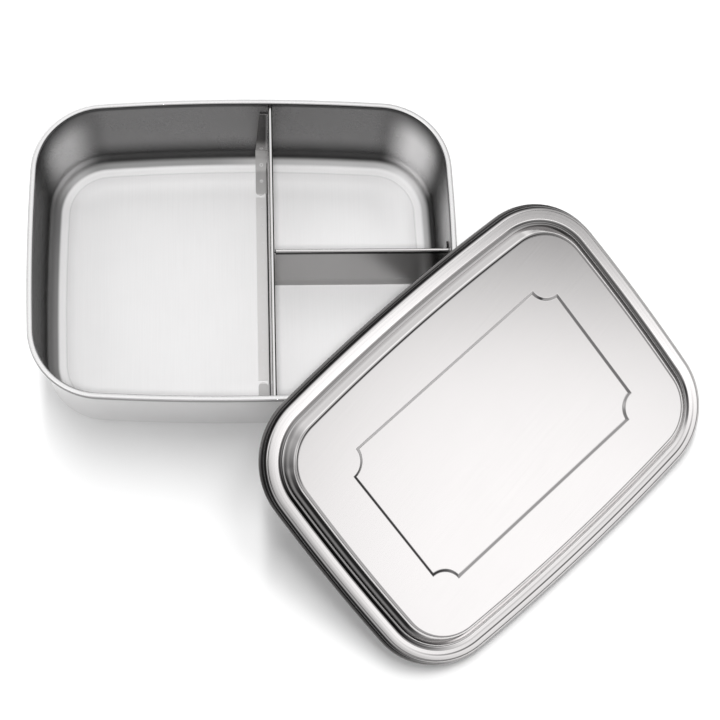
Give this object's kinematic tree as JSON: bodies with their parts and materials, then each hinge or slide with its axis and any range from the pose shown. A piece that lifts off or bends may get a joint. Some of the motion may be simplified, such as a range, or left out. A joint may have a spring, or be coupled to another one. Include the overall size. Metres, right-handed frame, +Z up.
{
  "type": "bento lunch box",
  "caption": "Shallow rounded steel lunch box with a rolled rim, welded dividers and a loose domed lid that leans on the rim.",
  "frame": {"origin": "centre of the box's underside, on the table plane", "axes": "+X along the box's long side towards the end with the two small compartments, +Y to the back, away from the side where the lid rests, +Z up"},
  "size_m": [0.3423, 0.2823, 0.0723],
  "materials": {
    "satin_steel": "satin stainless steel sheet",
    "polished_steel": "bright polished stainless steel sheet",
    "weld_steel": "heat-greyed weld spots"
  },
  "bodies": {
    "box": {"box_body": "satin_steel", "main_divider": "satin_steel", "cross_divider": "satin_steel", "main_divider_spot_welds": "weld_steel", "cross_divider_spot_welds": "weld_steel"},
    "lid": {"lid": "polished_steel"}
  },
  "joints": [
    {"name": "lid_lift", "type": "slide", "parent": "box", "child": "lid", "axis": [0, 0, 1], "range_m": [0, 0.12]}
  ]
}
